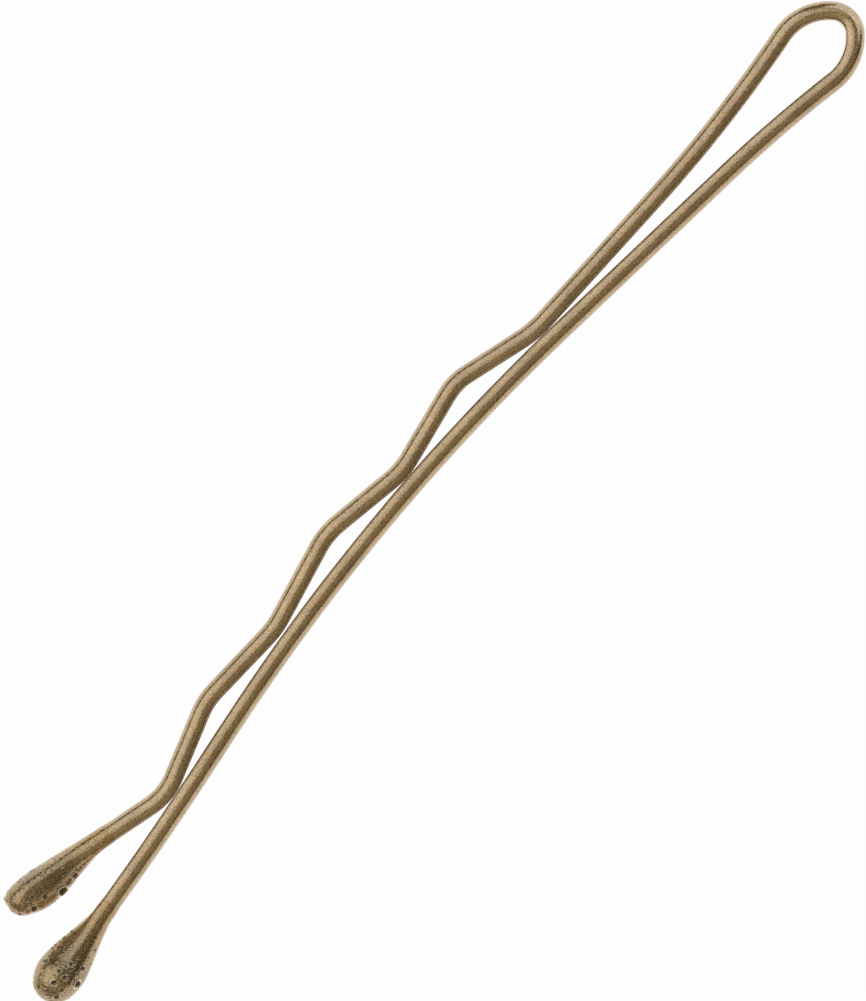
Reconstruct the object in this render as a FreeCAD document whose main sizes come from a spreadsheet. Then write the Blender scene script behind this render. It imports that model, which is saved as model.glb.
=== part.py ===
import FreeCAD, Part
import math
import os

import Sketcher

# A bobby pin lying flat. X runs along the pin with the loop at +X, Y runs across it with the
# crimped leg at +Y, and Z is up. The origin is the centre of the loop's eye, half way up the wire.

# Driving sizes, in millimetres and degrees
SIZES = {
    # Wire: round, but rolled flat on the inside of the pin; the flat's height is taken between its rounded edges
    "wire_thickness": 0.76,
    "wire_flat_height": 0.5,
    "wire_edge_radius": 0.1,
    # Loop, on the wire's centre line
    "loop_half_width": 1.41,
    "loop_reach": 1.955,
    "nose_radius": 0.95,
    "loop_tilt_angle": 5.6,
    # Straight leg, from the loop outwards: a flare, a long bow, and a lead that eases away to the wire's end
    "straight_flare_angle": 12.39,
    "straight_flare_radius": 58.7,
    "straight_flare_turn_angle": 5.55,
    "flare_run": 9.17,
    "bow_radius": 88.5,
    "bow_turn_angle": 13.41,
    "bow_run": 2.0,
    "lead_radius": 128.0,
    "lead_turn_angle": 2.6,
    "lead_run": 4.36,
    # Crimped leg, from the loop outwards: a flare, then four valleys that bear on the straight leg, with
    # a crest between each two. The first valley lies ahead of the bow's crown, towards the loop, and
    # a bend's step is its distance along the pin from the bend before.
    "crimped_flare_radius": 58.0,
    "crimped_flare_turn_angle": 8.3,
    "leg_gap": 0.02,
    "first_valley_ahead": 10.8,
    "first_valley_radius": 5.0,
    "first_crest_step": 4.66,
    "first_crest_radius": 2.5,
    "first_crest_rise": 0.71,
    "second_valley_step": 3.83,
    "second_valley_radius": 3.5,
    "second_crest_step": 3.92,
    "second_crest_radius": 3.4,
    "second_crest_rise": 0.61,
    "third_valley_step": 4.47,
    "third_valley_radius": 3.8,
    "third_valley_lift": 0.05,
    "third_crest_step": 3.4,
    "third_crest_radius": 3.1,
    "third_crest_rise": 0.585,
    "fourth_valley_step": 4.27,
    "fourth_valley_radius": 2.6,
    "tail_angle": 16.4,
    "tail_run": 5.87,
    # Dipped tips, measured along the wire from its end
    "coat_film": 0.03,
    "straight_tip_neck": 3.3,
    "straight_tip_belly": 0.35,
    "straight_tip_nose": 0.92,
    "straight_tip_inner_swell": 0.6,
    "straight_tip_outer_swell": 0.55,
    "straight_tip_depth": 2.0,
    "crimped_tip_neck": 3.5,
    "crimped_tip_belly": 0.45,
    "crimped_tip_nose": 1.09,
    "crimped_tip_inner_swell": 0.67,
    "crimped_tip_outer_swell": 0.11,
    "crimped_tip_depth": 1.9,
}

# Shares that shape a tip: from its neck to its belly, then from its belly to its nose
NECK_STATION_SHARES = (0.0, 0.25, 0.5, 0.75, 1.0)
NECK_SWELL_SHARES = (0.0, 0.19, 0.5, 0.83, 1.0)
NOSE_STATION_SHARES = (0.42, 0.74, 0.92, 1.0)
NOSE_SIZE_SHARES = {"straight_tip": (0.92, 0.72, 0.45, 0.15), "crimped_tip": (0.95, 0.78, 0.53, 0.2)}
NOSE_SHIFT_SHARES = (0.97, 0.88, 0.78, 0.72)
BELLY_ROUND_SHARE = 0.47

# Bends of each leg from the wire's end to the loop: a bend turns left (1) or right (-1)
STRAIGHT_BENDS = (("lead", 1), ("bow", -1), ("straight_flare", -1))
CRIMPED_BENDS = (
    ("fourth_valley", 1),
    ("third_crest", -1),
    ("third_valley", 1),
    ("second_crest", -1),
    ("second_valley", 1),
    ("first_crest", -1),
    ("first_valley", 1),
    ("crimped_flare", 1),
)

# Centres of the loop's arcs
LOOP_FORMULAS = {
    "side_radius": "(Pin.loop_reach^2 - 2*Pin.loop_reach*Pin.nose_radius + Pin.loop_half_width^2)"
                   " / (2*(Pin.loop_half_width - Pin.nose_radius))",
    "side_lift": "Path.side_radius - Pin.loop_half_width",
    "straight_side_x": "Path.side_lift*sin(Pin.loop_tilt_angle)",
    "straight_side_y": "Path.side_lift*cos(Pin.loop_tilt_angle)",
    "crimped_side_x": "-Path.straight_side_x",
    "crimped_side_y": "-Path.straight_side_y",
    "nose_x": "(Pin.loop_reach - Pin.nose_radius)*cos(Pin.loop_tilt_angle)",
    "nose_y": "-(Pin.loop_reach - Pin.nose_radius)*sin(Pin.loop_tilt_angle)",
}

# The straight leg's bends, from where it joins the loop to the wire's end
STRAIGHT_FORMULAS = {
    "straight_join_x": "Path.straight_side_x - Path.side_radius*sin(Pin.straight_flare_angle)",
    "straight_join_y": "Path.straight_side_y - Path.side_radius*cos(Pin.straight_flare_angle)",
    "straight_flare_x": "Path.straight_join_x - Pin.straight_flare_radius*sin(Pin.straight_flare_angle)",
    "straight_flare_y": "Path.straight_join_y - Pin.straight_flare_radius*cos(Pin.straight_flare_angle)",
    "bow_start_angle": "Pin.straight_flare_angle - Pin.straight_flare_turn_angle",
    "bow_x": "Path.straight_flare_x - (Pin.bow_radius - Pin.straight_flare_radius)*sin(Path.bow_start_angle)"
             " - Pin.flare_run*cos(Path.bow_start_angle)",
    "bow_y": "Path.straight_flare_y - (Pin.bow_radius - Pin.straight_flare_radius)*cos(Path.bow_start_angle)"
             " + Pin.flare_run*sin(Path.bow_start_angle)",
    "bow_end_angle": "Pin.bow_turn_angle - Path.bow_start_angle",
    "lead_x": "Path.bow_x - (Pin.bow_radius + Pin.lead_radius)*sin(Path.bow_end_angle)"
              " - Pin.bow_run*cos(Path.bow_end_angle)",
    "lead_y": "Path.bow_y + (Pin.bow_radius + Pin.lead_radius)*cos(Path.bow_end_angle)"
              " - Pin.bow_run*sin(Path.bow_end_angle)",
    "lead_angle": "Path.bow_end_angle - Pin.lead_turn_angle",
    "straight_end_x": "Path.lead_x + Pin.lead_radius*sin(Path.lead_angle) - Pin.lead_run*cos(Path.lead_angle)",
    "straight_end_y": "Path.lead_y - Pin.lead_radius*cos(Path.lead_angle) - Pin.lead_run*sin(Path.lead_angle)",
}

# The crimped leg's flare: a straight run from the first valley, then a bend that meets the loop's side
FLARE_FORMULAS = {
    "side_from_valley_x": "Path.crimped_side_x - Path.first_valley_x",
    "side_from_valley_y": "Path.crimped_side_y - Path.first_valley_y",
    "side_from_valley": "sqrt(Path.side_from_valley_x^2 + Path.side_from_valley_y^2)",
    "side_off_run": "Pin.crimped_flare_radius*(1 - cos(Pin.crimped_flare_turn_angle))"
                    " - Path.side_radius*cos(Pin.crimped_flare_turn_angle) - Pin.first_valley_radius",
    "crimped_run_angle": "(atan2(Path.side_from_valley_y; Path.side_from_valley_x)"
                         " - asin(Path.side_off_run/Path.side_from_valley))/1deg",
    "crimped_flare_angle": "Path.crimped_run_angle + Pin.crimped_flare_turn_angle",
    "crimped_join_x": "Path.crimped_side_x - Path.side_radius*sin(Path.crimped_flare_angle)",
    "crimped_join_y": "Path.crimped_side_y + Path.side_radius*cos(Path.crimped_flare_angle)",
    "crimped_flare_x": "Path.crimped_join_x - Pin.crimped_flare_radius*sin(Path.crimped_flare_angle)",
    "crimped_flare_y": "Path.crimped_join_y + Pin.crimped_flare_radius*cos(Path.crimped_flare_angle)",
}

# The crimped leg's last valley bears on the lead, and its tail leaves that valley to the wire's end
TAIL_FORMULAS = {
    "fourth_valley_x": "Path.third_crest_x - Pin.fourth_valley_step",
    "fourth_valley_reach": "Pin.lead_radius - Pin.wire_thickness - Pin.leg_gap - Pin.fourth_valley_radius",
    "fourth_valley_y": "Path.lead_y - sqrt(Path.fourth_valley_reach^2 - (Path.fourth_valley_x - Path.lead_x)^2)",
    "crimped_end_x": "Path.fourth_valley_x - Pin.fourth_valley_radius*sin(Pin.tail_angle)"
                     " - Pin.tail_run*cos(Pin.tail_angle)",
    "crimped_end_y": "Path.fourth_valley_y - Pin.fourth_valley_radius*cos(Pin.tail_angle)"
                     " + Pin.tail_run*sin(Pin.tail_angle)",
}

doc = FreeCAD.newDocument("bobby_pin")


def crimp_formulas():
    """Bend centres over the bow: valleys clear it by the leg gap, crests stand higher by their rise."""
    clear = "Pin.bow_radius + Pin.wire_thickness + Pin.leg_gap"
    reaches = {
        "first_valley": f"{clear} + Pin.first_valley_radius",
        "first_crest": f"{clear} + Pin.first_crest_rise - Pin.first_crest_radius",
        "second_valley": f"{clear} + Pin.second_valley_radius",
        "second_crest": f"{clear} + Pin.second_crest_rise - Pin.second_crest_radius",
        "third_valley": f"{clear} + Pin.third_valley_lift + Pin.third_valley_radius",
        "third_crest": f"{clear} + Pin.third_crest_rise - Pin.third_crest_radius",
    }
    bends = list(reaches)
    places = ["Path.bow_x + Pin.first_valley_ahead"]
    places += [f"Path.{before}_x - Pin.{bend}_step" for before, bend in zip(bends, bends[1:])]
    formulas = {}
    for bend, place in zip(bends, places):
        formulas[f"{bend}_x"] = place
        formulas[f"{bend}_y"] = f"Path.bow_y + sqrt(({reaches[bend]})^2 - (Path.{bend}_x - Path.bow_x)^2)"
    return formulas


def fill_sheet():
    """The driving sizes, one to a row."""
    sheet = doc.addObject("Spreadsheet::Sheet", "Pin")
    for row, (name, value) in enumerate(SIZES.items(), start=1):
        sheet.set(f"A{row}", name)
        sheet.set(f"B{row}", str(value))
        sheet.setAlias(f"B{row}", name)
    doc.recompute()


def fill_path():
    """The bend centres and end points that follow from the driving sizes."""
    path = doc.addObject("App::VarSet", "Path")
    for formulas in (LOOP_FORMULAS, STRAIGHT_FORMULAS, crimp_formulas(), FLARE_FORMULAS, TAIL_FORMULAS):
        for name, formula in formulas.items():
            path.addProperty("App::PropertyFloat", name)
            path.setExpression(name, formula)
    doc.recompute()


def number(formula):
    """What a formula in the driving sizes comes to."""
    return float(doc.Path.evalExpression(formula))


def sketch_on(body, role, name):
    """An empty sketch on one of the body's own origin planes."""
    sketch = body.newObject("Sketcher::SketchObject", name)
    plane = next(item for item in body.Origin.OriginFeatures if item.Role == role)
    sketch.AttachmentSupport = [(plane, "")]
    sketch.MapMode = "FlatFace"
    return sketch


def section_sketch(body, name, along, across="0", heading="0"):
    """A sketch square to the wire, at a place along and across the body's X axis."""
    sketch = sketch_on(body, "YZ_Plane", name)
    up = FreeCAD.Vector(0, 1, 0)
    place = FreeCAD.Vector(number(across), 0, number(along))
    sketch.AttachmentOffset = FreeCAD.Placement(place, FreeCAD.Rotation(up, number(heading)))
    sketch.setExpression("AttachmentOffset.Base.x", across)
    sketch.setExpression("AttachmentOffset.Base.z", along)
    sketch.setExpression("AttachmentOffset.Rotation.Angle", heading)
    return sketch


def bind(sketch, kind, where, formula):
    """A dimension of the sketch that follows a formula."""
    index = sketch.addConstraint(Sketcher.Constraint(kind, *where, number(formula)))
    sketch.setExpression(f"Constraints[{index}]", formula)


def place_point(sketch, item, point, x_formula, y_formula):
    """Dimensions from the sketch's origin to a point."""
    bind(sketch, "DistanceX", (-1, 1, item, point), x_formula)
    bind(sketch, "DistanceY", (-1, 1, item, point), y_formula)


def arc(x, y, radius, start, end):
    """An arc that turns left from one angle to another, in radians."""
    circle = Part.Circle(FreeCAD.Vector(x, y, 0), FreeCAD.Vector(0, 0, 1), radius)
    return Part.ArcOfCircle(circle, start, end)


def draw_wire_section(sketch, side, thickness, flat, edge, shift="0"):
    """A flat inner face, a domed outer face and two rounded edges. The flat is at +x for side 1."""
    inner = f"{side}*(({shift}) + ({thickness})/2)"
    outer = f"{side}*(({shift}) - ({thickness})/2)"
    edge_gap = f"{side}*({flat})"
    radius = number(edge)
    depth = number(thickness)
    rise = abs(number(edge_gap))/2
    dome = ((depth - radius)**2 + rise**2 - radius**2)/(2*(depth - 2*radius))
    edge_x = number(inner) - side*radius
    dome_x = number(outer) + side*dome
    turn = 0 if side > 0 else math.pi
    reach = math.atan2(rise, side*(edge_x - dome_x))
    low = FreeCAD.Vector(number(inner), -side*rise, 0)
    high = FreeCAD.Vector(number(inner), side*rise, 0)
    sketch.addGeometry(Part.LineSegment(low, high))
    sketch.addGeometry(arc(edge_x, side*rise, radius, turn, turn + reach))
    sketch.addGeometry(arc(dome_x, 0, dome, turn + reach, turn + 2*math.pi - reach))
    sketch.addGeometry(arc(edge_x, -side*rise, radius, turn + 2*math.pi - reach, turn + 2*math.pi))
    sketch.addGeometry(Part.Point(FreeCAD.Vector(number(outer), 0, 0)), True)
    for item in range(4):
        sketch.addConstraint(Sketcher.Constraint("Tangent", item, 2, (item + 1) % 4, 1))
    sketch.addConstraint(Sketcher.Constraint("Symmetric", 0, 1, 0, 2, -1))
    sketch.addConstraint(Sketcher.Constraint("Equal", 1, 3))
    sketch.addConstraint(Sketcher.Constraint("PointOnObject", 4, 1, 2))
    sketch.addConstraint(Sketcher.Constraint("PointOnObject", 4, 1, -1))
    bind(sketch, "Radius", (1,), edge)
    bind(sketch, "DistanceX", (-1, 1, 0, 1), inner)
    bind(sketch, "DistanceX", (-1, 1, 4, 1), outer)
    bind(sketch, "DistanceY", (3, 3, 1, 3), edge_gap)


def tangent_heading(first, second):
    """Heading of the straight run from one bend to the next, each given as x, y, radius and turn."""
    across = second[0] - first[0]
    up = second[1] - first[1]
    lean = (first[2]*first[3] - second[2]*second[3])/math.hypot(across, up)
    return math.atan2(up, across) + math.asin(lean)


def on_bend(bend, heading):
    """The point of a bend where the wire has this heading."""
    x, y, radius, turn = bend
    return FreeCAD.Vector(x + turn*radius*math.sin(heading), y - turn*radius*math.cos(heading), 0)


def bend_arc(bend, heading_in, heading_out):
    """The arc of a bend between two headings of the wire."""
    x, y, radius, turn = bend
    if turn > 0:
        return arc(x, y, radius, heading_in - math.pi/2, heading_out - math.pi/2)
    return arc(x, y, radius, heading_out + math.pi/2, heading_in + math.pi/2)


def draw_leg_path(sketch, end, bend_names, join, join_heading):
    """Straight runs tangent to one bend after another, from the wire's end to the loop."""
    bends = [(number(f"Path.{end}_x"), number(f"Path.{end}_y"), 0, 1)]
    for name, turn in bend_names:
        bends.append((number(f"Path.{name}_x"), number(f"Path.{name}_y"), number(f"Pin.{name}_radius"), turn))
    headings = [tangent_heading(first, second) for first, second in zip(bends, bends[1:])]
    headings.append(math.radians(number(join_heading)))
    for index, bend in enumerate(bends[1:]):
        run_start = on_bend(bends[index], headings[index])
        run_end = on_bend(bend, headings[index])
        sketch.addGeometry(Part.LineSegment(run_start, run_end))
        sketch.addGeometry(bend_arc(bend, headings[index], headings[index + 1]))
    place_point(sketch, 0, 1, f"Path.{end}_x", f"Path.{end}_y")
    way_out = 2
    for index, (name, turn) in enumerate(bend_names):
        run = 2*index
        bend = run + 1
        if index > 0:
            sketch.addConstraint(Sketcher.Constraint("Tangent", run - 1, way_out, run, 1))
        way_in = 1 if turn > 0 else 2
        way_out = 3 - way_in
        sketch.addConstraint(Sketcher.Constraint("Tangent", run, 2, bend, way_in))
        bind(sketch, "Radius", (bend,), f"Pin.{name}_radius")
        place_point(sketch, bend, 3, f"Path.{name}_x", f"Path.{name}_y")
    bind(sketch, "DistanceX", (-1, 1, bend, way_out), f"Path.{join}_x")


def draw_loop_path(sketch):
    """Side arc, nose arc and side arc, round the eye from the straight leg to the crimped leg."""
    sides = math.atan2(number("Path.side_lift"), number("Pin.loop_reach - Pin.nose_radius"))
    tilt = math.radians(number("Pin.loop_tilt_angle"))
    first_heading = -math.radians(number("Pin.straight_flare_angle"))
    nose_start = math.pi/2 - tilt - sides
    nose_end = math.pi/2 - tilt + sides
    last_heading = math.pi + math.radians(number("Path.crimped_flare_angle"))
    headings = (first_heading, nose_start, nose_end, last_heading)
    names = ("straight_side", "nose", "crimped_side")
    radii = ("Path.side_radius", "Pin.nose_radius", "Path.side_radius")
    for index, (name, radius) in enumerate(zip(names, radii)):
        bend = (number(f"Path.{name}_x"), number(f"Path.{name}_y"), number(radius), 1)
        sketch.addGeometry(bend_arc(bend, headings[index], headings[index + 1]))
        place_point(sketch, index, 3, f"Path.{name}_x", f"Path.{name}_y")
    sketch.addConstraint(Sketcher.Constraint("Tangent", 0, 2, 1, 1))
    sketch.addConstraint(Sketcher.Constraint("Tangent", 1, 2, 2, 1))
    bind(sketch, "Radius", (1,), "Pin.nose_radius")
    bind(sketch, "DistanceX", (-1, 1, 0, 1), "Path.straight_join_x")
    bind(sketch, "DistanceX", (-1, 1, 2, 2), "Path.crimped_join_x")


def new_body(name):
    """An empty sub-part."""
    body = doc.addObject("PartDesign::Body", name)
    body.Label = name
    return body


def draw_bare_wire(sketch, side):
    """The section of the bare wire."""
    draw_wire_section(sketch, side, "Pin.wire_thickness", "Pin.wire_flat_height", "Pin.wire_edge_radius")


def sweep(body, section, path):
    """The wire itself: its section carried along its path."""
    pipe = body.newObject("PartDesign::AdditivePipe", f"{body.Name}_wire")
    pipe.Profile = section
    pipe.Spine = path
    doc.recompute()


def make_leg(name, end, end_heading, bend_names, join, join_heading, side):
    """One leg of the wire, from its end inside the tip to the loop."""
    body = new_body(name)
    path = sketch_on(body, "XY_Plane", f"{name}_path")
    draw_leg_path(path, end, bend_names, join, join_heading)
    section = section_sketch(body, f"{name}_section", f"Path.{end}_x", f"Path.{end}_y", end_heading)
    draw_bare_wire(section, side)
    doc.recompute()
    sweep(body, section, path)
    return body


def make_loop():
    """The sprung loop that joins the two legs."""
    body = new_body("spring_loop")
    path = sketch_on(body, "XY_Plane", "spring_loop_path")
    draw_loop_path(path)
    start = ("Path.straight_join_x", "Path.straight_join_y", "-Pin.straight_flare_angle")
    section = section_sketch(body, "spring_loop_section", *start)
    draw_bare_wire(section, 1)
    doc.recompute()
    sweep(body, section, path)
    return body


def tip_sections(tip):
    """Formulas for each section of a tip: place, thickness, flat's height, edge radius and shift inwards."""
    coat = "Pin.coat_film"
    neck = f"Pin.{tip}_neck"
    belly = f"Pin.{tip}_belly"
    depth = f"Pin.{tip}_depth"
    inner = f"Pin.{tip}_inner_swell"
    outer = f"Pin.{tip}_outer_swell"
    coated = f"(Pin.wire_thickness + 2*{coat})"
    coated_edge = f"(Pin.wire_edge_radius + {coat})"
    belly_thickness = f"({coated} + {inner} + {outer})"
    belly_edge = f"({BELLY_ROUND_SHARE}*{belly_thickness})"
    belly_flat = f"({depth} - 2*{belly_edge})"
    belly_shift = f"(({inner} - {outer})/2)"
    sections = []
    for station, swell in zip(NECK_STATION_SHARES, NECK_SWELL_SHARES):
        sections.append((
            f"{neck} - {station}*({neck} - {belly})",
            f"{coated} + {swell}*({inner} + {outer})",
            f"Pin.wire_flat_height + {swell}*({belly_flat} - Pin.wire_flat_height)",
            f"{coated_edge} + {swell}*({belly_edge} - {coated_edge})",
            f"{swell}*{belly_shift}",
        ))
    for station, size, shift in zip(NOSE_STATION_SHARES, NOSE_SIZE_SHARES[tip], NOSE_SHIFT_SHARES):
        sections.append((
            f"{belly} - {station}*({belly} + Pin.{tip}_nose)",
            f"{size}*{belly_thickness}",
            f"{size}*{belly_flat}",
            f"{size}*{belly_edge}",
            f"{shift}*{belly_shift}",
        ))
    return sections


def make_tip(name, tip, end, heading, side):
    """A dipped tip: a drop that swells from the wire's coat, with the wire's end seated in it."""
    body = new_body(name)
    end_point = FreeCAD.Vector(number(f"Path.{end}_x"), number(f"Path.{end}_y"), 0)
    body.Placement = FreeCAD.Placement(end_point, FreeCAD.Rotation(FreeCAD.Vector(0, 0, 1), number(heading)))
    body.setExpression("Placement.Base.x", f"Path.{end}_x")
    body.setExpression("Placement.Base.y", f"Path.{end}_y")
    body.setExpression("Placement.Rotation.Angle", heading)
    outlines = []
    for index, (along, thickness, flat, edge, shift) in enumerate(tip_sections(tip)):
        outline = section_sketch(body, f"{name}_section_{index}", along)
        draw_wire_section(outline, side, thickness, flat, edge, shift)
        outlines.append(outline)
    doc.recompute()
    drop = body.newObject("PartDesign::AdditiveLoft", f"{name}_drop")
    drop.Profile = outlines[0]
    drop.Sections = outlines[1:]
    doc.recompute()
    whole = body.Shape.Volume
    seat = section_sketch(body, f"{name}_seat", "0")
    draw_bare_wire(seat, side)
    socket = body.newObject("PartDesign::Pocket", f"{name}_socket")
    socket.Profile = seat
    socket.Type = "ThroughAll"
    socket.Reversed = True
    doc.recompute()
    if body.Shape.Volume >= whole:
        raise RuntimeError(f"the socket of {name} cuts nothing")
    return body


def check_and_write(bodies):
    """Nothing is written unless every object of the document is sound."""
    for item in doc.Objects:
        if "Invalid" in item.State or "Error" in item.State:
            raise RuntimeError(f"{item.Label} failed: {item.State}")
    for body in bodies:
        if body.Shape.isNull() or not body.Shape.isValid():
            raise RuntimeError(f"{body.Label} has no valid shape")
    os.makedirs("parts", exist_ok=True)
    for body in bodies:
        body.Shape.exportStep(f"parts/{body.Label}.step")
        box = body.Shape.BoundBox
        print(f"{body.Label}: {len(body.Shape.Solids)} solid, {body.Shape.Volume:.3f} mm3,"
              f" x {box.XMin:.2f} to {box.XMax:.2f}, y {box.YMin:.2f} to {box.YMax:.2f}")


def main():
    fill_sheet()
    fill_path()
    bodies = (
        make_leg("straight_leg", "straight_end", "Path.lead_angle", STRAIGHT_BENDS,
                 "straight_join", "-Pin.straight_flare_angle", 1),
        make_loop(),
        make_leg("crimped_leg", "crimped_end", "-Pin.tail_angle", CRIMPED_BENDS,
                 "crimped_join", "Path.crimped_flare_angle", -1),
        make_tip("straight_leg_tip", "straight_tip", "straight_end", "Path.lead_angle", 1),
        make_tip("crimped_leg_tip", "crimped_tip", "crimped_end", "-Pin.tail_angle", -1),
    )
    check_and_write(bodies)


main()
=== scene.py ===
import math
import random

import bpy
import numpy as np
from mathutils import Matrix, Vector, noise


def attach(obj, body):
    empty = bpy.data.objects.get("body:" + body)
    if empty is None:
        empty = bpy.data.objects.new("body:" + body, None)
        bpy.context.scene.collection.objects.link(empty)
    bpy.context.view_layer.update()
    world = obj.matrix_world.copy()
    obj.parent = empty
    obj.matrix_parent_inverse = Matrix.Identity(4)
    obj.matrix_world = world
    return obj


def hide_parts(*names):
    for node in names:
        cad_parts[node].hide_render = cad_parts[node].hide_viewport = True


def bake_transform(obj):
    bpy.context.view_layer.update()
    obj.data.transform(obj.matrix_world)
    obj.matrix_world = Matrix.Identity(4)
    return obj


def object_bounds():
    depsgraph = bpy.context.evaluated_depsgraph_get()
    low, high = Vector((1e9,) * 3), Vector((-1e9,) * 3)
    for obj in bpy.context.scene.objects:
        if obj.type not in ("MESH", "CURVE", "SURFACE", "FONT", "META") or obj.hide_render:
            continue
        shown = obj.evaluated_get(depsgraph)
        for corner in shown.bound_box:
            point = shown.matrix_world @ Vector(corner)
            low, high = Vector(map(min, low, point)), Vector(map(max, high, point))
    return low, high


# Looks of a bobby pin lying on a white table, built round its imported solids
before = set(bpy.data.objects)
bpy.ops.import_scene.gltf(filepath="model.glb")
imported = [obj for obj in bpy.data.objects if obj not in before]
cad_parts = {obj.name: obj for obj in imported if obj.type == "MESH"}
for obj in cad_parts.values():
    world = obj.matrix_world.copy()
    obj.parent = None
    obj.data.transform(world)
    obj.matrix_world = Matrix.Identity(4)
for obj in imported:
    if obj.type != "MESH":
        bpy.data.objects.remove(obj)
CAD_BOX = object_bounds()

# Metres to a millimetre
MM = 0.001

# Sizes of the wire's path, in millimetres and degrees, as in the solids
PIN = {
    "wire_thickness": 0.76,
    "wire_flat_height": 0.5,
    "wire_edge_radius": 0.1,
    "loop_half_width": 1.41,
    "loop_reach": 1.955,
    "nose_radius": 0.95,
    "loop_tilt_angle": 5.6,
    "straight_flare_angle": 12.39,
    "straight_flare_radius": 58.7,
    "straight_flare_turn_angle": 5.55,
    "flare_run": 9.17,
    "bow_radius": 88.5,
    "bow_turn_angle": 13.41,
    "bow_run": 2.0,
    "lead_radius": 128.0,
    "lead_turn_angle": 2.6,
    "lead_run": 4.36,
    "crimped_flare_radius": 58.0,
    "crimped_flare_turn_angle": 8.3,
    "leg_gap": 0.02,
    "first_valley_ahead": 10.8,
    "first_valley_radius": 5.0,
    "first_crest_step": 4.66,
    "first_crest_radius": 2.5,
    "first_crest_rise": 0.71,
    "second_valley_step": 3.83,
    "second_valley_radius": 3.5,
    "second_crest_step": 3.92,
    "second_crest_radius": 3.4,
    "second_crest_rise": 0.61,
    "third_valley_step": 4.47,
    "third_valley_radius": 3.8,
    "third_valley_lift": 0.05,
    "third_crest_step": 3.4,
    "third_crest_radius": 3.1,
    "third_crest_rise": 0.585,
    "fourth_valley_step": 4.27,
    "fourth_valley_radius": 2.6,
    "tail_angle": 16.4,
    "tail_run": 5.87,
}

# Sizes of the dipped tips, in millimetres, as in the solids
COAT_FILM = 0.03
STRAIGHT_TIP = {
    "neck": 3.3,
    "belly": 0.35,
    "nose": 0.92,
    "inner": 0.6,
    "outer": 0.55,
    "depth": 2.0,
    "round_share": 0.85,
    "ridge": 0.02,
    "ridge_end": 0.1,
}
CRIMPED_TIP = {
    "neck": 3.5,
    "belly": 0.45,
    "nose": 1.09,
    "inner": 0.67,
    "outer": 0.11,
    "depth": 1.9,
    "round_share": 0.62,
    "ridge": 0.03,
    "ridge_end": -0.75,
}
NECK_STATION_SHARES = np.array((0.0, 0.25, 0.5, 0.75, 1.0))
NECK_SWELL_SHARES = np.array((0.0, 0.19, 0.5, 0.83, 1.0))
NOSE_DROP_SHARE = 0.28
BELLY_ROUND_SHARE = 0.47

# Over the wire a tip has a ridge, with a flatter flank inwards of it: the runs over which the ridge comes
# and goes, in millimetres, the powers of the two flanks' curves, and the share of its height that is lost
RIDGE_START_RUN = 1.5
RIDGE_END_RUN = 0.9
INNER_POWER = 1.45
OUTER_POWER = 1.9
RIDGE_SINK_SHARE = 0.1

# The run from its neck over which a tip takes on the dip's own tone, in millimetres
DIP_RUN = 2.2

# Mesh fineness: the spacing of the wire's rings in millimetres, then numbers of points and of rings
RING_STEP = 0.06
FLAT_POINTS = 6
EDGE_POINTS = 5
DOME_POINTS = 44
TIP_FLAT_POINTS = 8
TIP_EDGE_POINTS = 32
TIP_DOME_POINTS = 120
NECK_RINGS = 130
NOSE_RINGS = 70
FEATHER_RINGS = 24

# Lacquer on the wire, in millimetres
LACQUER_FILM = 0.006
RIPPLE_HEIGHT = 0.003
RIPPLE_LENGTH = 0.9
DIMPLE_HEIGHT = 0.0015
DIMPLE_LENGTH = 0.21

# Where a tip's neck thins out until it is under the wire's lacquer, in millimetres
FEATHER_RUN = 0.9
FEATHER_SINK = 0.012

# Sculpting of the tips: millimetres, shares of a pit's depth or radius, and the number of strewn pits
LUMP_HEIGHT = 0.02
LUMP_LENGTH = 0.7
GRAIN_HEIGHT = 0.011
GRAIN_HEIGHT_LOW = 0.001
GRAIN_LENGTH = 0.08
LIP_HEIGHT_SHARE = 0.28
LIP_PLACE_SHARE = 1.1
LIP_WIDTH_SHARE = 0.22
PIT_REACH = 1.7
PIT_FADE = 0.9
# Depth at which a pit's painted shade is full, in millimetres
PIT_SHADE_DEPTH = 0.05
STREWN_PITS = 90
STREWN_RADII = (0.025, 0.07)
STREWN_DEPTH_SHARE = 0.55

# Pits that the photograph shows: distance from the wire's end towards the loop, distance inwards,
# radius and depth, in millimetres
STRAIGHT_PITS = (
    (0.44, 0.8, 0.11, 0.07),
    (1.04, -0.59, 0.12, 0.07),
    (0.4, -0.8, 0.17, 0.13),
    (0.35, -0.25, 0.11, 0.07),
    (-0.07, -0.01, 0.13, 0.08),
    (-0.13, -0.4, 0.1, 0.05),
    (-0.48, -0.4, 0.12, 0.08),
    (0.91, -0.14, 0.1, 0.06),
    (0.44, 0.11, 0.09, 0.06),
    (0.73, -0.02, 0.07, 0.05),
    (1.25, -0.19, 0.06, 0.03),
    (-0.43, 0.23, 0.08, 0.05),
    (1.57, 0.73, 0.09, 0.06),
    (1.93, 0.64, 0.07, 0.05),
    (0.97, 0.88, 0.08, 0.04),
    (1.9, -0.56, 0.06, 0.05),
    (1.35, -0.76, 0.06, 0.04),
    (-0.93, 0.02, 0.08, 0.05),
    (-0.78, -0.32, 0.09, 0.05),
    (0.03, 0.61, 0.07, 0.04),
    (-0.25, 0.65, 0.07, 0.04),
)
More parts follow.
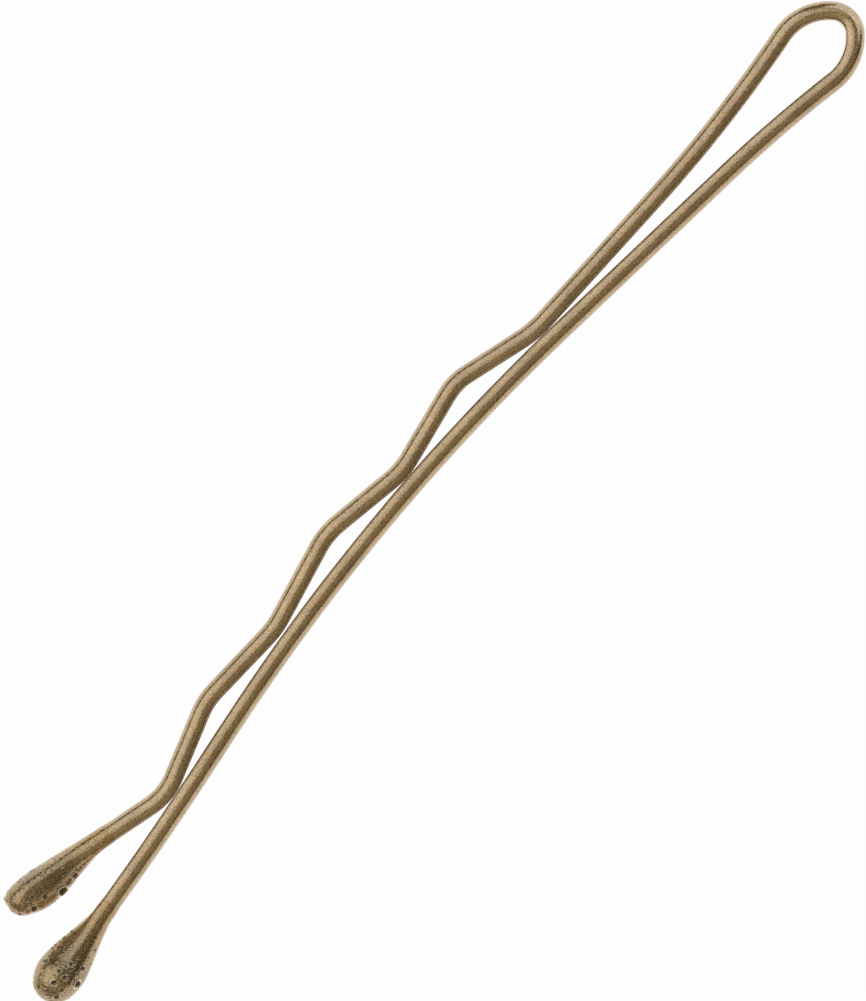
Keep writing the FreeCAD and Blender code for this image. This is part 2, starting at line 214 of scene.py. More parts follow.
CRIMPED_PITS = (
    (1.83, 0.65, 0.14, 0.1),
    (2.21, 0.52, 0.07, 0.05),
    (2.03, 0.5, 0.06, 0.04),
    (1.09, 0.9, 0.22, 0.14),
    (0.37, 0.68, 0.11, 0.07),
    (-0.26, 0.83, 0.14, 0.09),
    (-0.84, 0.68, 0.09, 0.06),
    (-1.05, 0.39, 0.07, 0.05),
    (-0.3, 0.37, 0.07, 0.05),
    (-0.03, 0.41, 0.09, 0.06),
    (0.24, 0.3, 0.07, 0.05),
    (0.47, 0.31, 0.05, 0.03),
    (2.6, 0.44, 0.06, 0.04),
    (-0.46, 0.55, 0.06, 0.04),
)
# Nibs where the dip ran: distance from the wire's end towards the loop, distance inwards, radius and height
STRAIGHT_NIBS = ((-0.6, 0.55, 0.3, 0.04),)
CRIMPED_NIBS = ((-1.03, -0.16, 0.1, 0.09),)
# Seeds of the strewn pits
STRAIGHT_SEED = 11
CRIMPED_SEED = 23
STRAIGHT_MARKS = (STRAIGHT_PITS, STRAIGHT_NIBS, STRAIGHT_SEED)
CRIMPED_MARKS = (CRIMPED_PITS, CRIMPED_NIBS, CRIMPED_SEED)

# Turns and sides, for someone who goes along the wire
LEFT = 1
RIGHT = -1

# Bends: the crimps that rest on or rise from the bow, from the loop outwards, and each leg's bends from
# the wire's end to the loop
BOW_CRIMPS = ("first_valley", "first_crest", "second_valley", "second_crest", "third_valley", "third_crest")
STRAIGHT_BENDS = (("lead", LEFT), ("bow", RIGHT), ("straight_flare", RIGHT))
CRIMPED_BENDS = (
    ("fourth_valley", LEFT),
    ("third_crest", RIGHT),
    ("third_valley", LEFT),
    ("second_crest", RIGHT),
    ("second_valley", LEFT),
    ("first_crest", RIGHT),
    ("first_valley", LEFT),
    ("crimped_flare", LEFT),
)


def ahead(heading):
    """Unit vector along a heading."""
    return np.array((math.cos(heading), math.sin(heading)))


def right_of(heading):
    """Unit vector to the right of a heading."""
    return np.array((math.sin(heading), -math.cos(heading)))


def turn_of(name):
    """An angle of the path, in radians."""
    return math.radians(PIN[name])


def loop_centres():
    """Centres of the loop's three arcs, and the radius of its sides."""
    reach = PIN["loop_reach"]
    half = PIN["loop_half_width"]
    nose = PIN["nose_radius"]
    side_radius = (reach**2 - 2*reach*nose + half**2)/(2*(half - nose))
    tilt = turn_of("loop_tilt_angle")
    side = -(side_radius - half)*right_of(-tilt)
    centres = {"straight_side": side, "crimped_side": -side, "nose": (reach - nose)*ahead(-tilt)}
    return centres, side_radius


def straight_centres(centres, side_radius):
    """Adds the straight leg's bends, from the loop outwards, and the wire's end."""
    flare_angle = turn_of("straight_flare_angle")
    flare_radius = PIN["straight_flare_radius"]
    bow_radius = PIN["bow_radius"]
    lead_radius = PIN["lead_radius"]
    bow_start = flare_angle - turn_of("straight_flare_turn_angle")
    bow_end = turn_of("bow_turn_angle") - bow_start
    lead_angle = bow_end - turn_of("lead_turn_angle")
    join = centres["straight_side"] + side_radius*right_of(-flare_angle)
    flare = join + flare_radius*right_of(-flare_angle)
    bow = flare + (bow_radius - flare_radius)*right_of(-bow_start) - PIN["flare_run"]*ahead(-bow_start)
    lead = bow - (bow_radius + lead_radius)*right_of(bow_end) - PIN["bow_run"]*ahead(bow_end)
    end = lead + lead_radius*right_of(lead_angle) - PIN["lead_run"]*ahead(lead_angle)
    centres.update({"straight_flare": flare, "bow": bow, "lead": lead, "straight_end": end})
    return lead_angle


def crimp_centres(centres):
    """Adds the crimped leg's valleys and crests, from the loop outwards, and the wire's end."""
    clear = PIN["bow_radius"] + PIN["wire_thickness"] + PIN["leg_gap"]
    bow = centres["bow"]
    x = bow[0] + PIN["first_valley_ahead"]
    for name in BOW_CRIMPS:
        x -= PIN.get(f"{name}_step", 0)
        radius = PIN[f"{name}_radius"]
        rise = PIN.get(f"{name}_rise")
        if rise is None:
            reach = clear + radius + PIN.get(f"{name}_lift", 0)
        else:
            reach = clear + rise - radius
        centres[name] = np.array((x, bow[1] + math.sqrt(reach**2 - (x - bow[0])**2)))
    x -= PIN["fourth_valley_step"]
    radius = PIN["fourth_valley_radius"]
    lead = centres["lead"]
    reach = PIN["lead_radius"] - PIN["wire_thickness"] - PIN["leg_gap"] - radius
    centres["fourth_valley"] = np.array((x, lead[1] - math.sqrt(reach**2 - (x - lead[0])**2)))
    tail = turn_of("tail_angle")
    foot = centres["fourth_valley"] + radius*right_of(-tail)
    centres["crimped_end"] = foot - PIN["tail_run"]*ahead(-tail)


def crimped_flare(centres, side_radius):
    """Adds the crimped leg's bend into the loop, and gives the wire's heading where they meet."""
    turn = turn_of("crimped_flare_turn_angle")
    radius = PIN["crimped_flare_radius"]
    away = centres["crimped_side"] - centres["first_valley"]
    off = radius*(1 - math.cos(turn)) - side_radius*math.cos(turn) - PIN["first_valley_radius"]
    run_angle = math.atan2(away[1], away[0]) - math.asin(off/math.hypot(*away))
    angle = run_angle + turn
    join = centres["crimped_side"] - side_radius*right_of(angle)
    centres["crimped_flare"] = join - radius*right_of(angle)
    return angle


def tangent_heading(first, second):
    """Heading of the straight run from one bend to the next, each given as centre, radius and turn."""
    away = second[0] - first[0]
    lean = (first[1]*first[2] - second[1]*second[2])/math.hypot(*away)
    return math.atan2(away[1], away[0]) + math.asin(lean)


def on_bend(bend, heading):
    """The point of a bend where the wire has this heading."""
    centre, radius, turn = bend
    return centre + turn*radius*right_of(heading)


def run_line(start, end, heading):
    """Points with headings along a straight run, without its last point."""
    count = max(1, round(math.dist(start, end)/RING_STEP))
    return [(*(start + (end - start)*step/count), heading) for step in range(count)]


def bend_line(bend, heading_in, heading_out):
    """Points with headings along a bend, without its last point."""
    count = max(2, round(abs(heading_out - heading_in)*bend[1]/RING_STEP))
    headings = np.linspace(heading_in, heading_out, count + 1)[:-1]
    return [(*on_bend(bend, heading), heading) for heading in headings]


def leg_line(centres, end, names, join_heading):
    """The centre line of a leg from the wire's end to the loop."""
    bends = [(centres[end], 0, LEFT)]
    bends += [(centres[name], PIN[f"{name}_radius"], turn) for name, turn in names]
    headings = [tangent_heading(first, second) for first, second in zip(bends, bends[1:])]
    headings.append(join_heading)
    line = []
    for index, bend in enumerate(bends[1:]):
        start = on_bend(bends[index], headings[index])
        line += run_line(start, on_bend(bend, headings[index]), headings[index])
        line += bend_line(bend, headings[index], headings[index + 1])
    line.append((*on_bend(bends[-1], join_heading), join_heading))
    return line


def loop_line(centres, side_radius, crimped_angle):
    """The centre line of the loop, round the eye from the straight leg to the crimped leg."""
    tilt = turn_of("loop_tilt_angle")
    lift = side_radius - PIN["loop_half_width"]
    sides = math.atan2(lift, PIN["loop_reach"] - PIN["nose_radius"])
    square = math.pi/2 - tilt
    headings = (-turn_of("straight_flare_angle"), square - sides, square + sides, math.pi + crimped_angle)
    radii = (side_radius, PIN["nose_radius"], side_radius)
    line = []
    for index, name in enumerate(("straight_side", "nose", "crimped_side")):
        bend = (centres[name], radii[index], LEFT)
        line += bend_line(bend, headings[index], headings[index + 1])
    line.append((*on_bend(bend, headings[-1]), headings[-1]))
    return line


def wire_section(thickness, flat, edge, counts):
    """Points round a section that is flat on its inner side (+x) and domed on its outer side."""
    flat_count, edge_count, dome_count = counts
    rise = flat/2
    dome = ((thickness - edge)**2 + rise**2 - edge**2)/(2*(thickness - 2*edge))
    edge_x = thickness/2 - edge
    dome_x = dome - thickness/2
    reach = math.atan2(rise, edge_x - dome_x)
    levels = np.linspace(-rise, rise, flat_count, endpoint=False)
    points = [(thickness/2, level) for level in levels]
    for angle in np.linspace(0, reach, edge_count, endpoint=False):
        points.append((edge_x + edge*math.cos(angle), rise + edge*math.sin(angle)))
    for angle in np.linspace(reach, 2*math.pi - reach, dome_count, endpoint=False):
        points.append((dome_x + dome*math.cos(angle), dome*math.sin(angle)))
    for angle in np.linspace(2*math.pi - reach, 2*math.pi, edge_count, endpoint=False):
        points.append((edge_x + edge*math.cos(angle), edge*math.sin(angle) - rise))
    return np.array(points)


def ring_normals(points, side):
    """Outward normals of a tube given as rings of points."""
    along = np.gradient(points, axis=0)
    round_it = np.roll(points, -1, axis=1) - np.roll(points, 1, axis=1)
    normals = side*np.cross(round_it, along)
    lengths = np.linalg.norm(normals, axis=2, keepdims=True)
    return normals/np.maximum(lengths, np.finfo(float).tiny)


def noise_at(points, length):
    """Smooth noise between about -1 and 1, with features of about this length."""
    flat = points.reshape(-1, 3)/length
    values = [noise.noise(Vector(point)) for point in flat]
    return np.array(values).reshape(points.shape[:2])


def tube_faces(rings, around, first_rim, last_rim, middles):
    """Faces of a tube, with a fan from a middle point to close each end."""
    faces = []
    for spot in range(around):
        after = (spot + 1) % around
        for low in range(0, (rings - 1)*around, around):
            high = low + around
            faces.append((low + spot, low + after, high + after, high + spot))
        faces.append((middles, first_rim + after, first_rim + spot))
        faces.append((middles + 1, last_rim + spot, last_rim + after))
    return faces


def tube_mesh(name, points, side, ends, crisp):
    """A closed mesh from rings of points, in millimetres. Crisp ends have a rim of their own."""
    rings, around = points.shape[:2]
    count = rings*around
    parts = [points.reshape(-1, 3)]
    rims = (0, count - around)
    if crisp:
        parts += [points[0], points[-1]]
        rims = (count, count + around)
        count += 2*around
    vertices = np.vstack((*parts, ends))*MM
    faces = tube_faces(rings, around, *rims, count)
    if side < 0:
        faces = [face[::-1] for face in faces]
    mesh = bpy.data.meshes.new(name)
    mesh.from_pydata(vertices.tolist(), [], faces)
    mesh.shade_smooth()
    piece = bpy.data.objects.new(name, mesh)
    bpy.context.scene.collection.objects.link(piece)
    return piece


def lacquered(points, side):
    """The rings with the slight unevenness of a dipped lacquer."""
    height = LACQUER_FILM + RIPPLE_HEIGHT*noise_at(points, RIPPLE_LENGTH)
    height += DIMPLE_HEIGHT*noise_at(points, DIMPLE_LENGTH)
    return points + height[:, :, None]*ring_normals(points, side)


def wire_piece(name, line, side):
    """A length of wire along a centre line, its flat side on its left or its right."""
    section = wire_section(PIN["wire_thickness"], PIN["wire_flat_height"], PIN["wire_edge_radius"],
                           (FLAT_POINTS, EDGE_POINTS, DOME_POINTS))
    rings = []
    for x, y, heading in line:
        inward = -side*right_of(heading)
        rings.append([(x + inward[0]*across, y + inward[1]*across, up) for across, up in section])
    points = lacquered(np.array(rings), side)
    ends = np.array([(line[0][0], line[0][1], 0), (line[-1][0], line[-1][1], 0)])
    return tube_mesh(name, points, side, ends, True)


def eased(share):
    """A share from 0 to 1 that starts and stops gently."""
    inside = np.clip(share, 0, 1)
    return inside*inside*(3 - 2*inside)


def through(places, values, where):
    """Values on a smooth line through given ones, level at both ends."""
    slopes = np.gradient(values, places)
    slopes[[0, -1]] = 0
    index = np.clip(np.searchsorted(places, where) - 1, 0, len(places) - 2)
    gap = places[index + 1] - places[index]
    t = (where - places[index])/gap
    rising = eased(t)
    values_part = values[index]*(1 - rising) + values[index + 1]*rising
    slopes_part = slopes[index]*t*(1 - t)**2 - slopes[index + 1]*t*t*(1 - t)
    return values_part + gap*slopes_part


def tip_sections(tip):
    """Place, thickness, flat's height, edge radius and inward shift of each ring of a tip."""
    thin = PIN["wire_thickness"]
    flat = PIN["wire_flat_height"]
    edge = PIN["wire_edge_radius"]
    belly_thickness = thin + 2*COAT_FILM + tip["inner"] + tip["outer"]
    belly_edge = BELLY_ROUND_SHARE*belly_thickness
    belly_flat = tip["depth"] - 2*belly_edge
    belly_shift = (tip["inner"] - tip["outer"])/2
    belly = np.array((belly_thickness, belly_flat, belly_edge, belly_shift))
    neck = np.array((thin + 2*COAT_FILM, flat, edge + COAT_FILM, 0))
    rows = []
    for share in np.linspace(0, 1, FEATHER_RINGS, endpoint=False):
        film = (COAT_FILM + FEATHER_SINK)*eased(share) - FEATHER_SINK
        rows.append((tip["neck"] + FEATHER_RUN*(1 - share), thin + 2*film, flat, edge + film, 0))
    for share in np.linspace(0, 1, NECK_RINGS, endpoint=False):
        swell = through(NECK_STATION_SHARES, NECK_SWELL_SHARES, share)
        rows.append((tip["neck"] - share*(tip["neck"] - tip["belly"]), *(neck + swell*(belly - neck))))
    for angle in np.linspace(0, math.pi/2, NOSE_RINGS, endpoint=False):
        size = math.cos(angle)**tip["round_share"]
        reach = math.sin(angle)
        shift = belly_shift*(1 - NOSE_DROP_SHARE*reach**2)
        rows.append((tip["belly"] - reach*(tip["belly"] + tip["nose"]), *(size*belly[:3]), shift))
    return rows, belly_shift*(1 - NOSE_DROP_SHARE)


def tip_rings(tip):
    """Rings of a tip as distances along the wire from its end, inwards, and up."""
    counts = (TIP_FLAT_POINTS, TIP_EDGE_POINTS, TIP_DOME_POINTS)
    rows, nose_shift = tip_sections(tip)
    rings = []
    for along, thickness, flat, edge, shift in rows:
        section = wire_section(thickness, flat, edge, counts)
        rings.append([(along, across + shift, up) for across, up in section])
    ends = np.array([(tip["neck"] + FEATHER_RUN, 0, 0), (-tip["nose"], nose_shift, 0)])
    return np.array(rings), ends


def ridged(points, tip):
    """A tip's rings with their crests moved to its ridge. Outlines seen from above stay as they are."""
    along = points[:, 0, 0]
    coming = eased((tip["neck"] - along)/RIDGE_START_RUN)
    amounts = coming*eased((along - tip["ridge_end"])/RIDGE_END_RUN)
    ridge = tip["ridge"]
    made = points.copy()
    for ring, amount in zip(made, amounts):
        crest = ring[np.argmax(ring[:, 2])].copy()
        height = np.clip(np.abs(ring[:, 2])/crest[2], 0, 1)
        inner = ridge + (ring[:, 1].max() - ridge)*(1 - height**INNER_POWER)**(1/INNER_POWER)
        outer = ridge + (ring[:, 1].min() - ridge)*(1 - height**OUTER_POWER)**(1/OUTER_POWER)
        place = np.where(ring[:, 1] > crest[1], inner, outer)
        ring[:, 1] += amount*(place - ring[:, 1])
        ring[:, 2] *= 1 - amount*RIDGE_SINK_SHARE
    return made


def crater(points, centre, radius, depth):
    """Height of a burst bubble's pit, with a raised lip, at each point."""
    reach = np.linalg.norm(points - centre, axis=2)/radius
    inside = np.clip(1 - reach, 0, 1)
    lip = LIP_HEIGHT_SHARE*np.exp(-((reach - LIP_PLACE_SHARE)/LIP_WIDTH_SHARE)**2)
    return depth*(lip - inside*(2 - inside))


def upper_point(points, along, inward):
    """The point of a tip's upper side nearest to a place along and across it."""
    away = np.hypot(points[..., 0] - along, points[..., 1] - inward)
    away[points[..., 2] < 0] = np.inf
    return points[np.unravel_index(np.argmin(away), away.shape)]


def nib(points, centre, radius, height):
    """Height of a soft bump at each point."""
    reach = np.clip(np.linalg.norm(points - centre, axis=2)/radius, 0, 1)
    return height*(1 - reach*reach)**2


def sculpted(points, pits, nibs, seed):
    """A tip's rings with lumps, grain, the pits that show and smaller pits strewn about, and how far each
    point is down a pit, or up its lip where the number is below zero."""
    normals = ring_normals(points, RIGHT)
    belly = np.clip((PIT_REACH - points[..., 0])/PIT_FADE, 0, 1)
    height = LUMP_HEIGHT*noise_at(points, LUMP_LENGTH)*belly
    facing_up = eased(np.abs(normals[..., 2]))
    grain = GRAIN_HEIGHT_LOW + (GRAIN_HEIGHT - GRAIN_HEIGHT_LOW)*belly*facing_up
    height += grain*noise_at(points, GRAIN_LENGTH)
    for along, inward, radius, rise in nibs:
        height += nib(points, upper_point(points, along, inward), radius, rise)
    hollow = np.zeros(points.shape[:2])
    for along, inward, radius, depth in pits:
        hollow += crater(points, upper_point(points, along, inward), radius, depth)
    dice = random.Random(seed)
    rings = np.flatnonzero(points[:, 0, 0] < PIT_REACH)
    for _ in range(STREWN_PITS):
        ring = dice.choice(rings)
        centre = points[ring, dice.randrange(points.shape[1])]
        radius = dice.uniform(*STREWN_RADII)
        hollow += crater(points, centre, radius, STREWN_DEPTH_SHARE*radius)
    # The second value sets where the material paints shade into the pits and a highlight onto their lips
    return points + (height + hollow)[..., None]*normals, np.clip(-hollow/PIT_SHADE_DEPTH, -1, 1)


def tip_piece(name, tip, marks, end, heading, side):
    """A dipped tip over the end of a leg."""
    points, ends = tip_rings(tip)
    points = ridged(points, tip)
    points, hollow = sculpted(points, *marks)
    forward = ahead(heading)
    inward = -side*right_of(heading)

    def placed(local):
        spread = np.empty_like(local)
        for axis in (0, 1):
            spread[..., axis] = end[axis] + local[..., 0]*forward[axis] + local[..., 1]*inward[axis]
        spread[..., 2] = local[..., 2]
        return spread

    piece = tube_mesh(name, placed(points), -side, placed(ends), False)
    dipped = eased((tip["neck"] - points[..., 0])/DIP_RUN)
    # The pit value carries the painted shade in the pits and the painted highlight on their lips
    for label, values, at_ends in (("pit", hollow, (0, 0)), ("dip", dipped, (0, 1))):
        mark = piece.data.attributes.new(label, "FLOAT", "POINT")
        mark.data.foreach_set("value", np.append(values.ravel(), at_ends))
    return piece


def new_node(tree, kind, **settings):
    """A shader node with its settings."""
    made = tree.nodes.new(kind)
    for name, value in settings.items():
        setattr(made, name, value)
    return made


def noise_node(tree, coordinates, scale, detail):
    """Noise over the object's own coordinates, with this many features to a metre."""
    made = new_node(tree, "ShaderNodeTexNoise")
    made.inputs["Scale"].default_value = scale
    made.inputs["Detail"].default_value = detail
    tree.links.new(coordinates, made.inputs["Vector"])
    return made.outputs["Fac"]


def ramp_node(tree, factor, stops):
    """Colours along a factor."""
    made = new_node(tree, "ShaderNodeValToRGB")
    tree.links.new(factor, made.inputs["Fac"])
    elements = made.color_ramp.elements
    while len(elements) < len(stops):
        elements.new(1)
    for element, (place, colour) in zip(elements, stops):
        element.position = place
        element.color = colour
    return made.outputs["Color"]


def range_node(tree, value, low, high, to_low, to_high):
    """A value carried from one range to another."""
    made = new_node(tree, "ShaderNodeMapRange")
    for name, number in (("From Min", low), ("From Max", high), ("To Min", to_low), ("To Max", to_high)):
        made.inputs[name].default_value = number
    tree.links.new(value, made.inputs["Value"])
    return made.outputs["Result"]


# Lacquer: colours in linear light, noise scales in features to a metre, bump height in metres
WIRE_LOOK = {
    "dark": (0.44, 0.285, 0.11, 1),
    "light": (0.54, 0.365, 0.155, 1),
    "roughness": (0.17, 0.28),
    "bump": 0.000004,
    "grain": ((0.66, 0.64, 0.6, 1), (1.32, 1.32, 1.34, 1)),
    "coat": 1,
}
TIP_LOOK = {
    "dark": (0.315, 0.22, 0.095, 1),
    "light": (0.445, 0.312, 0.138, 1),
    "roughness": (0.16, 0.28),
    "bump": 0.000007,
    "grain": ((0.56, 0.54, 0.5, 1), (1.44, 1.44, 1.46, 1)),
    "coat": 0.5,
}
# Painted shade in the tips' pits, a painted highlight on their raised lips, and the pit value at which that
# highlight is full
PIT_PAINTED_SHADE = (0.1, 0.066, 0.028, 1)
LIP_PAINTED_HIGHLIGHT = (0.84, 0.71, 0.49, 1)
LIP_HIGHLIGHT_FULL = -0.6
PATCH_SCALE = 700
GRAIN_SCALE = 19000
METALLIC = 0.85
COAT_IOR = 1.95
COAT_ROUGHNESS = 0.14
NOISE_LOW = 0.35
NOISE_HIGH = 0.65
PATCH_DETAIL = 3
GRAIN_DETAIL = 0


def mixed(tree, blend, factor, first, second):
    """Two colours mixed, by a share or by another node's output."""
    made = new_node(tree, "ShaderNodeMix", data_type="RGBA", blend_type=blend)
    if isinstance(factor, int):
        made.inputs["Factor"].default_value = factor
    else:
        tree.links.new(factor, made.inputs["Factor"])
    for name, colour in (("A", first), ("B", second)):
        socket = next(item for item in made.inputs if item.name == name and item.type == "RGBA")
        if isinstance(colour, tuple):
            socket.default_value = colour
        else:
            tree.links.new(colour, socket)
    return next(item for item in made.outputs if item.type == "RGBA")


def lacquer_colour(tree, patches, grain, look):
    """A lacquer's tone with its sparkle."""
    tone = ramp_node(tree, patches, ((NOISE_LOW, look["dark"]), (NOISE_HIGH, look["light"])))
    grain_dark, grain_light = look["grain"]
    sparkle = ramp_node(tree, grain, ((NOISE_LOW, grain_dark), (NOISE_HIGH, grain_light)))
    return mixed(tree, "MULTIPLY", 1, tone, sparkle)


def grain_bump(tree, grain, height):
    """Normals of a surface that the grain raises by up to this height."""
    made = new_node(tree, "ShaderNodeBump")
    made.inputs["Distance"].default_value = height
    tree.links.new(grain, made.inputs["Height"])
    return made.outputs["Normal"]


def bronze(name, look):
    """Antique-bronze metallic lacquer with a fine sparkle, with painted shade in its pits and painted
    highlights on their lips.
    """
    material = bpy.data.materials.new(name)
    material.use_nodes = True
    tree = material.node_tree
    shader = tree.nodes["Principled BSDF"]
    coordinates = new_node(tree, "ShaderNodeTexCoord").outputs["Object"]
    patches = noise_node(tree, coordinates, PATCH_SCALE, PATCH_DETAIL)
    grain = noise_node(tree, coordinates, GRAIN_SCALE, GRAIN_DETAIL)
    dip = new_node(tree, "ShaderNodeAttribute", attribute_name="dip").outputs["Fac"]
    on_wire = lacquer_colour(tree, patches, grain, WIRE_LOOK)
    colour = mixed(tree, "MIX", dip, on_wire, lacquer_colour(tree, patches, grain, look))
    pit = new_node(tree, "ShaderNodeAttribute", attribute_name="pit").outputs["Fac"]
    # Painted highlight on the pits' raised lips
    colour = mixed(tree, "MIX", range_node(tree, pit, 0, LIP_HIGHLIGHT_FULL, 0, 1), colour, LIP_PAINTED_HIGHLIGHT)
    # Painted shade in the pits, deepest where they are deepest
    colour = mixed(tree, "MIX", range_node(tree, pit, 0, 1, 0, 1), colour, PIT_PAINTED_SHADE)
    tree.links.new(colour, shader.inputs["Base Color"])
    roughness = range_node(tree, grain, NOISE_LOW, NOISE_HIGH, *look["roughness"])
    tree.links.new(roughness, shader.inputs["Roughness"])
    tree.links.new(grain_bump(tree, grain, look["bump"]), shader.inputs["Normal"])
    shader.inputs["Metallic"].default_value = METALLIC
    shader.inputs["Coat Weight"].default_value = look["coat"]
    shader.inputs["Coat IOR"].default_value = COAT_IOR
    shader.inputs["Coat Roughness"].default_value = COAT_ROUGHNESS
    return material


# Table and screen: metres, shares, and degrees round the upright
FLOOR_RADIUS = 2.0
FLOOR_SEGMENTS = 24
SCREEN_HEIGHT = 0.57
SCREEN_SEGMENTS = 16
SCREEN_TURN = -100
SCREEN_HALF_TURN = 45
SCREEN_TAPER_POWER = 4
FLOOR_WHITE = (0.86, 0.86, 0.86, 1)
GLOW_WHITE = (1, 1, 1, 1)
GLOW_SHARE = 0.975


def floor_material():
    """White table that stays white to the camera and in the metal, and keeps a faint shadow."""
    material = bpy.data.materials.new("white_table")
    material.use_nodes = True
    tree = material.node_tree
    tree.nodes.remove(tree.nodes["Principled BSDF"])
    rays = new_node(tree, "ShaderNodeLightPath")
    seen = rays.outputs["Is Camera Ray"]
    for kind in ("Is Glossy Ray", "Is Transmission Ray"):
        either = new_node(tree, "ShaderNodeMath", operation="MAXIMUM")
        tree.links.new(seen, either.inputs[0])
        tree.links.new(rays.outputs[kind], either.inputs[1])
        seen = either.outputs["Value"]
    share = range_node(tree, seen, 0, 1, 0, GLOW_SHARE)
    matt = new_node(tree, "ShaderNodeBsdfDiffuse")
    matt.inputs["Color"].default_value = FLOOR_WHITE
    glow = new_node(tree, "ShaderNodeEmission")
    glow.inputs["Color"].default_value = GLOW_WHITE
    mix = new_node(tree, "ShaderNodeMixShader")
    tree.links.new(share, mix.inputs["Fac"])
    tree.links.new(matt.outputs["BSDF"], mix.inputs[1])
    tree.links.new(glow.outputs["Emission"], mix.inputs[2])
    tree.links.new(mix.outputs["Shader"], tree.nodes["Material Output"].inputs["Surface"])
    return material


def stage_piece(name, points, faces, material):
    """A piece of the surroundings."""
    mesh = bpy.data.meshes.new(name)
    mesh.from_pydata(points, [], faces)
    mesh.materials.append(material)
    piece = bpy.data.objects.new(name, mesh)
    bpy.context.scene.collection.objects.link(piece)


def make_table():
    """A round white table under the pin, with a low white screen on the straight leg's side."""
    level = CAD_BOX[0].z
    white = floor_material()
    turns = np.linspace(0, 2*math.pi, FLOOR_SEGMENTS, endpoint=False)
    rim = [(FLOOR_RADIUS*math.cos(turn), FLOOR_RADIUS*math.sin(turn), level) for turn in turns]
    stage_piece("table", rim, [tuple(range(FLOOR_SEGMENTS))], white)
    foot = []
    top = []
    for share in np.linspace(-1, 1, SCREEN_SEGMENTS + 1):
        turn = math.radians(SCREEN_TURN + share*SCREEN_HALF_TURN)
        x = FLOOR_RADIUS*math.cos(turn)
        y = FLOOR_RADIUS*math.sin(turn)
        foot.append((x, y, level))
        top.append((x, y, level + SCREEN_HEIGHT*(1 - share**SCREEN_TAPER_POWER)))
    over = SCREEN_SEGMENTS + 1
    faces = [(step, step + 1, over + step + 1, over + step) for step in range(SCREEN_SEGMENTS)]
    stage_piece("screen", foot + top, faces, white)


# Light: a soft box leans from straight above, in degrees, towards a turn round the upright that starts at
# the loop's side. It may slide along the pin. Distances and sizes are in metres and power is in watts.
AIM = (-0.0235, 0, 0)
LAMP_DISTANCE = 0.5
MAIN_LAMP = {
    "name": "main_softbox",
    "lean": 49,
    "turn": 90,
    "slide": -0.2,
    "width": 0.95,
    "height": 0.384,
    "power": 1.1,
}
UPPER_LAMP = {
    "name": "upper_softbox",
    "lean": 15,
    "turn": 90,
    "slide": -0.2,
    "width": 0.95,
    "height": 0.231,
    "power": 0.44,
}
SIDE_LAMP = {
    "name": "side_softbox",
    "lean": 63,
    "turn": -4,
    "slide": 0,
    "width": 0.66,
    "height": 0.5,
    "power": 1.15,
}
LAMP_COLOUR = (0.82, 0.88, 1.0)
# The room from the horizon up, and its brightness towards each end of the pin
SKY_STOPS = (
    (0.0, (0.096, 0.085, 0.063, 1)),
    (0.3, (0.154, 0.135, 0.1, 1)),
    (0.7, (0.326, 0.287, 0.214, 1)),
    (1.0, (0.403, 0.355, 0.265, 1)),
)
SKY_END_SHARE = 0.45
TIP_END_BRIGHT = 1.25
LOOP_END_BRIGHT = 0.36


def make_lamps():
    """Soft boxes over the pin, each turned towards it."""
    for lamp in (MAIN_LAMP, UPPER_LAMP, SIDE_LAMP):
        light = bpy.data.lights.new(lamp["name"], "AREA")
        light.shape = "RECTANGLE"
        light.size = lamp["width"]
        light.size_y = lamp["height"]
        light.energy = lamp["power"]
        light.color = LAMP_COLOUR
        box = bpy.data.objects.new(lamp["name"], light)
        lean = math.radians(lamp["lean"])
        turn = math.radians(lamp["turn"])
        away = Vector((math.sin(lean)*math.cos(turn), math.sin(lean)*math.sin(turn), math.cos(lean)))
        box.location = Vector(AIM) + LAMP_DISTANCE*away + Vector((lamp["slide"], 0, 0))
        box.rotation_euler = (-away).to_track_quat("-Z", "Y").to_euler()
        box.visible_camera = False
        bpy.context.scene.collection.objects.link(box)


def make_sky():
    """A dim warm room: brighter overhead and towards the tips, darker towards the horizon and the loop."""
    world = bpy.data.worlds.new("room")
    bpy.context.scene.world = world
    world.use_nodes = True
    tree = world.node_tree
    direction = new_node(tree, "ShaderNodeTexCoord").outputs["Generated"]
    axes = new_node(tree, "ShaderNodeSeparateXYZ")
    tree.links.new(direction, axes.inputs["Vector"])
    background = tree.nodes["Background"]
    tree.links.new(ramp_node(tree, axes.outputs["Z"], SKY_STOPS), background.inputs["Color"])
    brightness = range_node(tree, axes.outputs["X"], -SKY_END_SHARE, SKY_END_SHARE,
                            TIP_END_BRIGHT, LOOP_END_BRIGHT)
    tree.links.new(brightness, background.inputs["Strength"])


# Camera: straight above the pin, turned so that the pin lies across the frame
CAMERA_PLACE = (-0.02352, 0.000292, 0.25025)
CAMERA_TURN = -50.38
CAMERA_LENS = 150
CAMERA_SENSOR = 24
CAMERA_NEAR = 0.01


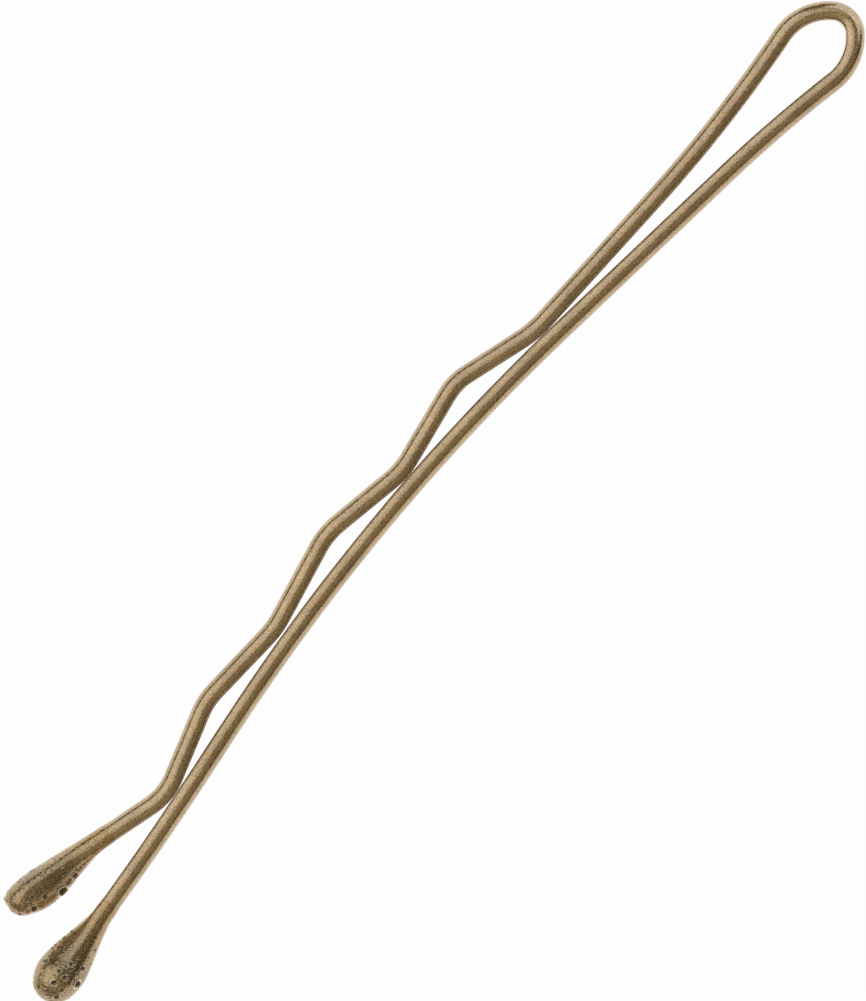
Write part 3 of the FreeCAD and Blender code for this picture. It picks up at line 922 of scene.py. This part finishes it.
def make_camera():
    """The photograph's view."""
    camera = bpy.data.cameras.new("camera")
    camera.lens = CAMERA_LENS
    camera.sensor_width = CAMERA_SENSOR
    camera.clip_start = CAMERA_NEAR
    stand = bpy.data.objects.new("camera", camera)
    stand.location = CAMERA_PLACE
    stand.rotation_euler = (0, 0, math.radians(CAMERA_TURN))
    bpy.context.scene.collection.objects.link(stand)
    bpy.context.scene.camera = stand


# The pieces that stay rigid: the solid each stands for, its body and its finish
RIGID_PIECES = (
    ("straight_leg", "straight_side", "wire"),
    ("crimped_leg", "crimped_side", "wire"),
    ("straight_leg_tip", "straight_side", "tip"),
    ("crimped_leg_tip", "crimped_side", "tip"),
)


def pin_pieces():
    """The pin's five pieces, by the solids that they stand for."""
    centres, side_radius = loop_centres()
    lead_angle = straight_centres(centres, side_radius)
    crimp_centres(centres)
    crimped_angle = crimped_flare(centres, side_radius)
    straight = leg_line(centres, "straight_end", STRAIGHT_BENDS, -turn_of("straight_flare_angle"))
    crimped = leg_line(centres, "crimped_end", CRIMPED_BENDS, crimped_angle)
    loop = loop_line(centres, side_radius, crimped_angle)
    straight_place = (centres["straight_end"], lead_angle, LEFT)
    crimped_place = (centres["crimped_end"], -turn_of("tail_angle"), RIGHT)
    return {
        "straight_leg": wire_piece("straight_wire", straight, LEFT),
        "crimped_leg": wire_piece("crimped_wire", crimped, RIGHT),
        "straight_leg_tip": tip_piece("straight_bead", STRAIGHT_TIP, STRAIGHT_MARKS, *straight_place),
        "crimped_leg_tip": tip_piece("crimped_bead", CRIMPED_TIP, CRIMPED_MARKS, *crimped_place),
        "spring_loop": wire_piece("loop_wire", loop, LEFT),
    }


def make_pin():
    """The pin, with its finishes, on its bodies."""
    pieces = pin_pieces()
    looks = {"wire": bronze("bronze_lacquer", WIRE_LOOK), "tip": bronze("bronze_dip", TIP_LOOK)}
    for node, body, slot in RIGID_PIECES:
        piece = pieces[node]
        piece.data.materials.append(looks[slot])
        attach(piece, body)
        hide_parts(node)
    bend = pieces["spring_loop"]
    bend.data.materials.append(looks["wire"])
    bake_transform(bend)
    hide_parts("spring_loop")


bpy.context.scene.view_settings.view_transform = "Standard"
make_camera()
make_pin()
make_table()
make_lamps()
make_sky()
